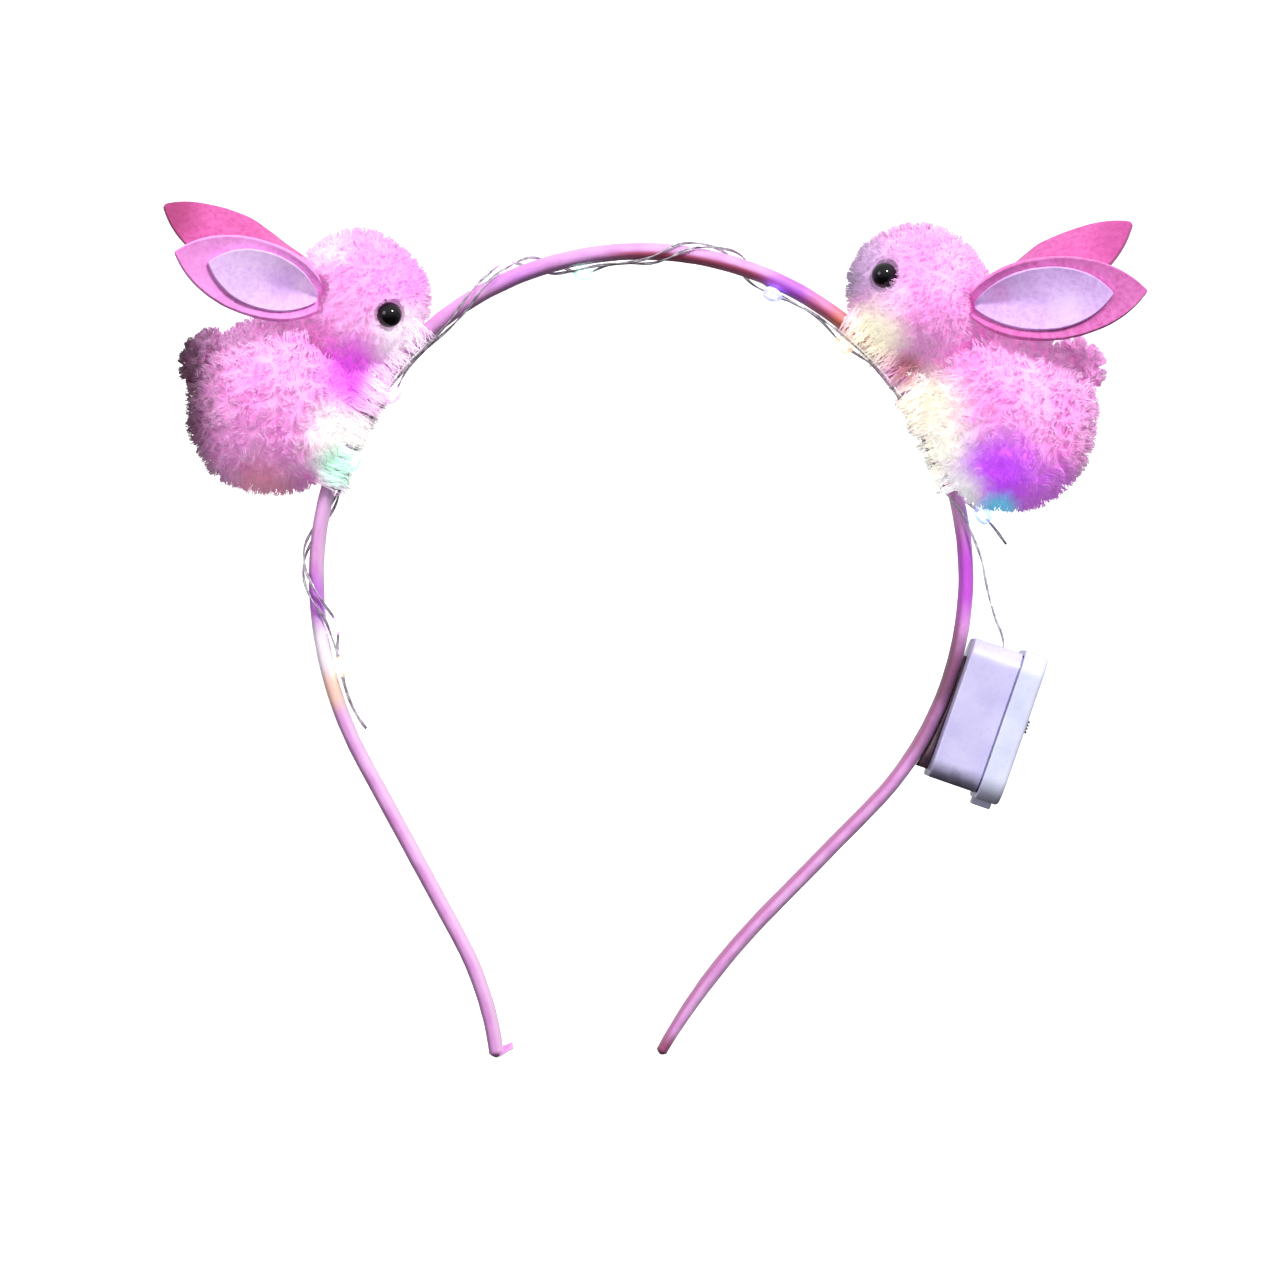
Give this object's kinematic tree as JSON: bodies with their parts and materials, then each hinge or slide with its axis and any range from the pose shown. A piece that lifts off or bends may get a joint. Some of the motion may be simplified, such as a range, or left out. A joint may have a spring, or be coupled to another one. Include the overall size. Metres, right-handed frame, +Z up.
{
  "type": "light-up animal ears headband",
  "caption": "Satin-covered spring headband with two seated plush rabbits, felt ears, a wound string of light drops and a coin-cell battery box with a slide switch",
  "frame": {"origin": "under the middle of the crown, on the band's inner face, where the top of the head touches it", "axes": "+Z up through the crown as worn, +X along the row of rabbits towards the battery box's side, +Y towards the far side of the band, seen from its front"},
  "size_m": [0.1763, 0.0381, 0.1547],
  "materials": {
    "satin": "satin ribbon with a soft sheen",
    "spring_strip": "rolled spring steel",
    "fur": "trimmed plush yarn",
    "hot_felt": "pressed wool felt, matt",
    "pale_felt": "pressed wool felt, matt",
    "eye_bead": "polished",
    "hot_glue": "set glue, slightly waxy",
    "silver_wire": "bare drawn wire under clear enamel",
    "clear_resin": "cast drop round a lamp chip",
    "box_plastic": "moulded, lightly polished",
    "cover_plastic": "moulded, lightly polished",
    "cell_steel": "nickel plated",
    "contact_brass": "stamped sheet",
    "board": "lacquered laminate",
    "switch_can": "tin plated",
    "knob_plastic": "moulded, matt",
    "chip_resin": "cast blob",
    "resistor_body": "matt"
  },
  "bodies": {
    "headband": {"band_core": "spring_strip", "satin_sleeve": "satin", "left_tip_fold": "satin", "right_tip_fold": "satin", "left_body": "fur", "left_head": "fur", "left_tail": "fur", "left_body_glue": "hot_glue", "left_head_glue": "hot_glue", "left_near_ear_outer": "hot_felt", "left_near_ear_inner": "pale_felt", "left_near_eye": "eye_bead", "left_far_ear_outer": "hot_felt", "left_far_ear_inner": "pale_felt", "left_far_eye": "eye_bead", "right_body": "fur", "right_head": "fur", "right_tail": "fur", "right_body_glue": "hot_glue", "right_head_glue": "hot_glue", "right_near_ear_outer": "hot_felt", "right_near_ear_inner": "pale_felt", "right_near_eye": "eye_bead", "right_far_ear_outer": "hot_felt", "right_far_ear_inner": "pale_felt", "right_far_eye": "eye_bead", "light_wire": "silver_wire", "light_drop_01": "clear_resin", "light_drop_02": "clear_resin", "light_drop_03": "clear_resin", "light_drop_04": "clear_resin", "light_drop_05": "clear_resin", "light_drop_06": "clear_resin", "light_drop_07": "clear_resin", "light_drop_08": "clear_resin", "light_drop_09": "clear_resin", "light_drop_10": "clear_resin", "box_body": "box_plastic", "box_glue": "hot_glue", "contact_plate": "contact_brass", "coin_cell_1": "cell_steel", "coin_cell_2": "cell_steel"},
    "cover": {"box_cover": "cover_plastic", "circuit_board": "board", "contact_spring": "contact_brass", "switch_frame": "switch_can", "flasher_chip": "chip_resin", "resistor": "resistor_body"},
    "knob": {"switch_knob": "knob_plastic"}
  },
  "joints": [
    {"name": "cover_lift", "type": "slide", "parent": "headband", "child": "cover", "axis": [0.9446, 0, -0.3281], "range_m": [0, 0.02]},
    {"name": "switch_slide", "type": "slide", "parent": "cover", "child": "knob", "axis": [-0.3281, 0, -0.9446], "range_m": [0, 0.002]}
  ]
}
